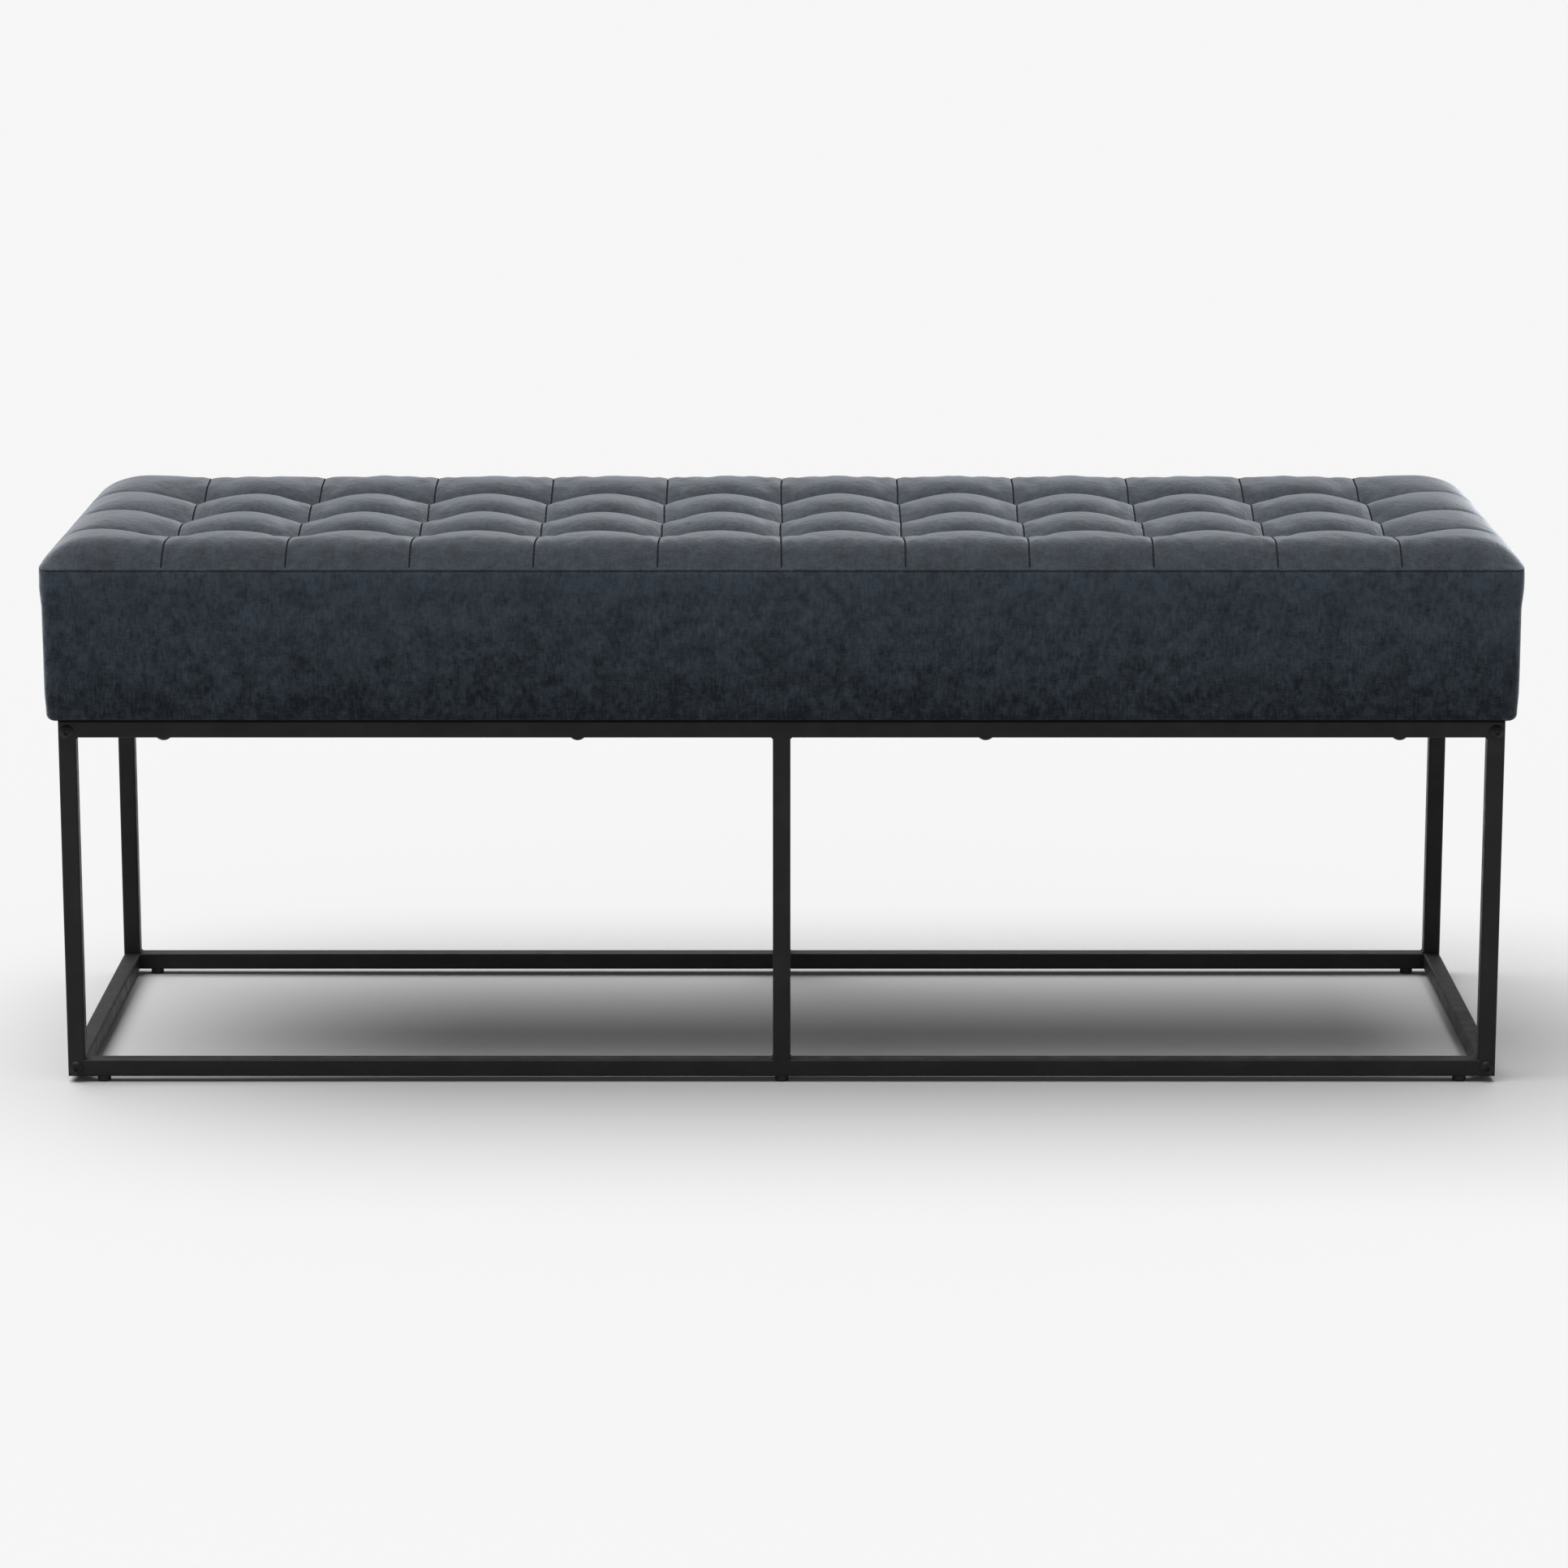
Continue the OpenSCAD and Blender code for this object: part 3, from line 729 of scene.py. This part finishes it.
def wire_mesh(name, paths, radius, sides=8):
    """Round wires along the given paths, with closed ends."""
    points, faces = [], []
    for path in paths:
        first = len(points)
        across = np.cross(path[-1] - path[0], [0, 0, 1.0])
        across /= np.linalg.norm(across)
        for k, place in enumerate(path):
            ahead = path[min(k + 1, len(path) - 1)] - path[max(k - 1, 0)]
            ahead /= np.linalg.norm(ahead)
            second = np.cross(across, ahead)
            for s in range(sides):
                angle = 2 * math.pi * s / sides
                points.append(place + radius * (math.cos(angle) * across + math.sin(angle) * second))
        for k in range(len(path) - 1):
            for s in range(sides):
                m = (s + 1) % sides
                o = first + k * sides
                faces.append((o + s, o + sides + s, o + sides + m, o + m))
        faces.append(tuple(range(first, first + sides)))
        faces.append(tuple(range(len(points) - 1, len(points) - 1 - sides, -1)))
    return mesh_object(name, points, faces)


def staples():
    """Staples in a rectangle round the dust cover, each turned up to three degrees."""
    rng = np.random.default_rng(51)
    run_x, run_y = 2 * (STAPLE_HIGH.x - STAPLE_INSET), 2 * (STAPLE_HIGH.y - STAPLE_INSET)
    places = []
    for count, run, axis in ((int(run_x / STAPLE_PITCH), run_x, 0), (int(run_y / STAPLE_PITCH), run_y, 1)):
        for k in range(count):
            for side in (-1, 1):
                along = (k + 0.5) * run / count - run / 2
                across = side * (run_y if axis == 0 else run_x) / 2
                places.append(((along, across), 0.0) if axis == 0 else ((across, along), math.pi / 2))
    paths = []
    for centre, turn in places:
        angle = turn + rng.uniform(-STAPLE_TILT, STAPLE_TILT)
        paths.append(staple_path(centre, (math.cos(angle), math.sin(angle))))
    return wire_mesh("wire_staples", paths, STAPLE_R)


# ---------------------------------------------------------------- materials


class Shader:
    """One procedural material, built a node at a time."""

    def __init__(self, name, roughness=0.5, specular=0.5, metallic=0.0):
        self.material = bpy.data.materials.new(name)
        self.material.use_nodes = True
        self.tree = self.material.node_tree
        self.surface = self.tree.nodes["Principled BSDF"]
        self.set("Roughness", roughness)
        self.set("Specular IOR Level", specular)
        self.set("Metallic", metallic)

    def set(self, socket, value):
        self.surface.inputs[socket].default_value = value

    def feed(self, socket, source):
        self.tree.links.new(source, self.surface.inputs[socket])

    def add(self, kind, inputs=None, **settings):
        node = self.tree.nodes.new(kind)
        for key, value in settings.items():
            setattr(node, key, value)
        for key, value in (inputs or {}).items():
            if isinstance(value, bpy.types.NodeSocket):
                self.tree.links.new(value, node.inputs[key])
            else:
                node.inputs[key].default_value = value
        return node

    def place(self):
        return self.add("ShaderNodeTexCoord").outputs["Object"]

    def cloth(self):
        return self.add("ShaderNodeUVMap", uv_map="cloth").outputs["UV"]

    def stretch(self, vector, scale):
        return self.add("ShaderNodeMapping", {"Vector": vector, "Scale": scale}).outputs["Vector"]

    def noise(self, vector, scale=1.0, detail=2.0, roughness=0.5):
        inputs = {"Vector": vector, "Scale": scale, "Detail": detail, "Roughness": roughness}
        return self.add("ShaderNodeTexNoise", inputs).outputs[0]

    def spread(self, value, low, high, to_low=0.0, to_high=1.0):
        inputs = {0: value, 1: low, 2: high, 3: to_low, 4: to_high}
        return self.add("ShaderNodeMapRange", inputs).outputs[0]

    def maths(self, operation, a, b):
        return self.add("ShaderNodeMath", {0: a, 1: b}, operation=operation).outputs[0]

    def total(self, *pairs):
        """Sum of values, each times its weight."""
        result = None
        for value, weight in pairs:
            term = self.maths("MULTIPLY", value, weight)
            result = term if result is None else self.maths("ADD", result, term)
        return result

    def blend(self, factor, a, b):
        node = self.add("ShaderNodeMix", {0: factor, 6: a, 7: b}, data_type="RGBA")
        return node.outputs[2]

    def bump(self, height, distance, strength=1.0):
        inputs = {"Height": height, "Distance": distance, "Strength": strength}
        self.feed("Normal", self.add("ShaderNodeBump", inputs).outputs["Normal"])


def velvet(name, dark, light, sheen, painted_hem_shade=0.0):
    """Brushed velvet: cloudy patches, streaks along the nap, faint cross threads and a soft sheen.

    The last argument is painted shade: how much darker the cloth is painted from the seat's top seam down to
    its hem, standing in for the light that falls off down the band.
    """
    s = Shader(name, roughness=0.9, specular=0.15)
    s.set("Sheen Weight", sheen)
    s.set("Sheen Roughness", 0.36)
    s.set("Sheen Tint", (0.88, 0.93, 1.0, 1))
    place, cloth = s.place(), s.cloth()
    cloud = s.spread(s.noise(place, 16, 5, 0.62), 0.30, 0.70)
    patch = s.spread(s.noise(place, 85, 4, 0.65), 0.34, 0.66)
    fleck = s.spread(s.noise(s.stretch(cloth, (230, 120, 1)), 1, 3, 0.7), 0.30, 0.70)
    nap = s.spread(s.noise(s.stretch(cloth, (560, 100, 1)), 1, 3, 0.6), 0.28, 0.72)
    thread = s.spread(s.noise(s.stretch(cloth, (150, 760, 1)), 1, 2, 0.6), 0.28, 0.72)
    height = s.add("ShaderNodeSeparateXYZ", {"Vector": place}).outputs["Z"]
    # painted shade: the base colour darkens from the band's top seam down to its hem, in place of the light
    # falling off lower down
    hem_shade_ramp = s.spread(height, BAND_LOW.z, BAND_HIGH.z)
    tone = s.total((cloud, 0.10), (patch, 0.26), (fleck, 0.24), (nap, 0.22), (thread, 0.18), (hem_shade_ramp, painted_hem_shade))
    middle = 0.5 + painted_hem_shade / 2
    s.feed("Base Color", s.blend(s.spread(tone, middle - 0.29, middle + 0.29), dark, light))
    s.bump(s.total((patch, 1.0), (fleck, 0.45), (nap, 0.30), (thread, 0.20)), 0.42 * MM, 0.7)
    return s.material


def shaded_fold_velvet(name):
    """Velvet folded tight into a seam or under the band: no sheen, as crushed pile has none, and a
    near-black colour that is painted shade for the shade inside the fold.
    """
    s = Shader(name, roughness=0.95, specular=0.05)
    # painted shade: near-black base colour standing in for the shade inside a fold
    dark, light = (0.005, 0.006, 0.008, 1), (0.012, 0.014, 0.017, 1)
    s.feed("Base Color", s.blend(s.noise(s.place(), 900, 2), dark, light))
    return s.material


def powder_coat(name, colour, rub):
    """Fine-textured black powder coat with faint rubbed patches."""
    s = Shader(name, roughness=0.5, specular=0.22)
    place = s.place()
    grain = s.noise(place, 1500, 3, 0.6)
    rubbed = s.spread(s.noise(place, 22, 4, 0.6), 0.45, 0.8)
    s.feed("Base Color", s.blend(rubbed, colour, rub))
    s.feed("Roughness", s.spread(s.noise(place, 60, 3, 0.6), 0.3, 0.7, 0.42, 0.58))
    s.bump(grain, 0.06 * MM, 0.5)
    return s.material


def black_oxide(name):
    """Blackened bolt heads: smoother than the tubes, so their domes catch a soft ring of light."""
    s = Shader(name, roughness=0.34, specular=0.22)
    place = s.place()
    s.feed("Base Color", s.blend(s.noise(place, 260, 3), (0.004, 0.004, 0.004, 1), (0.011, 0.011, 0.011, 1)))
    s.feed("Roughness", s.spread(s.noise(place, 700, 2), 0.3, 0.7, 0.28, 0.42))
    return s.material


def moulded_plastic(name, colour):
    s = Shader(name, roughness=0.55, specular=0.35)
    place = s.place()
    s.feed("Base Color", s.blend(s.noise(place, 90, 2), colour, tuple(1.5 * c for c in colour[:3]) + (1,)))
    s.bump(s.noise(place, 2200, 2), 0.05 * MM, 0.4)
    return s.material


def zinc_plate(name):
    s = Shader(name, roughness=0.35, metallic=1.0)
    place = s.place()
    s.feed("Base Color", s.blend(s.noise(place, 120, 3), (0.50, 0.50, 0.50, 1), (0.72, 0.72, 0.70, 1)))
    s.feed("Roughness", s.spread(s.noise(place, 300, 3), 0.3, 0.7, 0.28, 0.5))
    return s.material


def sawn_wood(name, pale, deep, along):
    """Softwood or veneer: growth lines stretched along the grain, pores and a little colour drift."""
    s = Shader(name, roughness=0.7, specular=0.25)
    place = s.place()
    lines = s.noise(s.stretch(place, along), 1, 5, 0.6)
    drift = s.noise(place, 6, 2)
    tone = s.total((s.spread(lines, 0.3, 0.7), 0.75), (drift, 0.4))
    s.feed("Base Color", s.blend(tone, pale, deep))
    s.bump(lines, 0.2 * MM, 0.4)
    return s.material


def open_foam(name, colour, shade):
    s = Shader(name, roughness=0.95, specular=0.1)
    place = s.place()
    cells = s.add("ShaderNodeTexVoronoi", {"Vector": place, "Scale": 900.0}).outputs["Distance"]
    s.feed("Base Color", s.blend(s.noise(place, 14, 3), colour, shade))
    s.bump(cells, 0.3 * MM, 0.6)
    return s.material


def nonwoven(name):
    """Black spun-bonded cloth: a grid of small welded dimples over matted fibres."""
    s = Shader(name, roughness=0.85, specular=0.2)
    place = s.place()
    fibres = s.noise(s.stretch(place, (900, 350, 1)), 1, 3, 0.7)
    dots = s.add("ShaderNodeTexVoronoi", {"Vector": place, "Scale": 600.0, "Randomness": 0.1})
    dimple = s.spread(dots.outputs["Distance"], 0.15, 0.35)
    s.feed("Base Color", s.blend(fibres, (0.010, 0.010, 0.011, 1), (0.030, 0.030, 0.032, 1)))
    s.bump(s.total((dimple, 0.6), (fibres, 0.5)), 0.15 * MM, 0.6)
    return s.material


def twisted_thread(name, colour, shade):
    s = Shader(name, roughness=0.7, specular=0.2)
    place = s.place()
    twist = s.add("ShaderNodeTexWave", {"Vector": place, "Scale": 900.0, "Distortion": 1.0},
                  bands_direction="DIAGONAL").outputs["Fac"]
    s.feed("Base Color", s.blend(twist, colour, shade))
    s.bump(twist, 0.1 * MM, 0.6)
    return s.material


def set_material(piece, material):
    """Puts one material in all of a piece's slots."""
    if len(piece.material_slots) == 0:
        piece.data.materials.append(material)
    for slot in piece.material_slots:
        slot.material = material


def cad_materials():
    """Every CAD node that is shown gets the material of its record slot."""
    looks = {
        "black_steel": powder_coat("powder_coat", (0.0075, 0.0075, 0.0078, 1), (0.013, 0.013, 0.0133, 1)),
        "black_bolt": black_oxide("black_bolt"),
        "zinc_steel": zinc_plate("zinc_plate"),
        "foot_plastic": moulded_plastic("foot_plastic", (0.008, 0.008, 0.008, 1)),
        "toggle_plastic": moulded_plastic("toggle_plastic", (0.02, 0.02, 0.02, 1)),
        "pine": sawn_wood("pine", (0.72, 0.55, 0.33, 1), (0.50, 0.33, 0.16, 1), (14, 240, 240)),
        "plywood": sawn_wood("plywood", (0.62, 0.46, 0.28, 1), (0.42, 0.28, 0.15, 1), (10, 160, 900)),
        "foam": open_foam("foam", (0.86, 0.79, 0.60, 1), (0.78, 0.70, 0.50, 1)),
        "wadding": open_foam("wadding", (0.88, 0.88, 0.86, 1), (0.78, 0.78, 0.77, 1)),
        "twine": twisted_thread("twine", (0.80, 0.75, 0.64, 1), (0.55, 0.50, 0.40, 1)),
    }
    slot_of = {part["node"]: part["material_slot"] for part in frame["record"]["subparts"]}
    for node, piece in frame["nodes"].items():
        look = looks.get(slot_of[node])
        if look:
            set_material(piece, look)
    return looks


# ---------------------------------------------------------------- stage


SKY = 0.42                         # brightness of the sky light
OVERHEAD = 7.0                     # strength of the overhead lamp
OVERHEAD_ANGLE = 70                # its apparent size in degrees: very soft
OVERHEAD_TURN = (-6, -14, 0)       # degrees from straight down
FLOOR_TONE = 0.36                  # with this light the floor comes out near white
FLOOR_HALF = 40.0
BACKDROP = 0.91                    # what the camera sees beyond the floor


def floor():
    half = FLOOR_HALF
    corners = [(-half, -half, 0), (half, -half, 0), (half, half, 0), (-half, half, 0)]
    plane = mesh_object("floor", corners, [(0, 1, 2, 3)], smooth=False)
    s = Shader("floor_white", roughness=0.9, specular=0.0)
    s.set("Base Color", (FLOOR_TONE, FLOOR_TONE, FLOOR_TONE, 1))
    set_material(plane, s.material)


def studio():
    """Even sky light, and one very large soft lamp overhead, a little to the left and front."""
    world = bpy.data.worlds.new("studio")
    world.use_nodes = True
    background = world.node_tree.nodes["Background"]
    background.inputs["Color"].default_value = (1, 1, 1, 1)
    nodes, links = world.node_tree.nodes, world.node_tree.links
    path, mix = nodes.new("ShaderNodeLightPath"), nodes.new("ShaderNodeMapRange")
    mix.inputs["To Min"].default_value = SKY
    mix.inputs["To Max"].default_value = BACKDROP
    links.new(path.outputs["Is Camera Ray"], mix.inputs["Value"])
    links.new(mix.outputs["Result"], background.inputs["Strength"])
    bpy.context.scene.world = world
    data = bpy.data.lights.new("overhead", "SUN")
    data.energy = OVERHEAD
    data.angle = math.radians(OVERHEAD_ANGLE)
    lamp = bpy.data.objects.new("overhead", data)
    lamp.rotation_euler = [math.radians(turn) for turn in OVERHEAD_TURN]
    bpy.context.scene.collection.objects.link(lamp)
    bpy.context.scene.view_settings.view_transform = "Standard"


CAMERA_PLACE = (0.002, -4.368, 1.152)
CAMERA_TILT = 12.05                # degrees below level
CAMERA_LENS = 115.8                # mm
SENSOR = 36                        # mm


def camera():
    data = bpy.data.cameras.new("photo_view")
    data.sensor_width = SENSOR
    data.lens = CAMERA_LENS
    data.clip_end = 200
    eye = bpy.data.objects.new("photo_view", data)
    eye.location = CAMERA_PLACE
    eye.rotation_euler = (math.radians(90 - CAMERA_TILT), 0, 0)
    bpy.context.scene.collection.objects.link(eye)
    bpy.context.scene.camera = eye


# ---------------------------------------------------------------- putting it together


VELVET_DARK = (0.0045, 0.0065, 0.0092, 1)
VELVET_LIGHT = (0.0190, 0.0240, 0.0310, 1)
BAND_DARK = (0.0034, 0.0058, 0.0090, 1)
BAND_LIGHT = (0.0370, 0.0470, 0.0605, 1)
THREAD_DARK = (0.012, 0.015, 0.020, 1)
THREAD_LIGHT = (0.03, 0.035, 0.045, 1)


def stand_in(piece, material, node):
    """A piece that stands for a CAD node: it takes the given material, and the node is hidden."""
    set_material(piece, material)
    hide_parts(node)


def seat(looks):
    surface = top_surface()
    top = tufted_top(surface)
    cloth = velvet("tufted_velvet", VELVET_DARK, VELVET_LIGHT, 1.0)
    stand_in(top, cloth, "tufted_top_cover")
    # second material: painted shade in the seams' grooves
    top.data.materials.append(shaded_fold_velvet("seam_fold_painted_shade"))
    paint_seam_shade(top)

    band = side_band()
    # the band's last argument, 0.34, is painted shade: darker towards its hem
    stand_in(band, velvet("band_velvet", BAND_DARK, BAND_LIGHT, 0.6, 0.34), "side_cover")
    # second material: painted shade on the cloth turned under the band's foot
    band.data.materials.append(shaded_fold_velvet("band_fold_painted_shade"))
    paint_foot_shade(band)

    threads = seam_stitches(surface)
    set_material(threads, twisted_thread("seam_thread", THREAD_DARK, THREAD_LIGHT))

    wadding = wadding_layer()
    stand_in(wadding, looks["wadding"], "side_wadding")

    foam = foam_block()
    stand_in(foam, looks["foam"], "foam_pad")

    dust = dust_sheet()
    stand_in(dust, nonwoven("nonwoven"), "dust_cover")

    wires = staples()
    stand_in(wires, looks["zinc_steel"], "cover_staples")

    for piece in (top, band, threads, wadding, foam, dust, wires):
        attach(piece, "root")


camera()
floor()
studio()
seat(cad_materials())
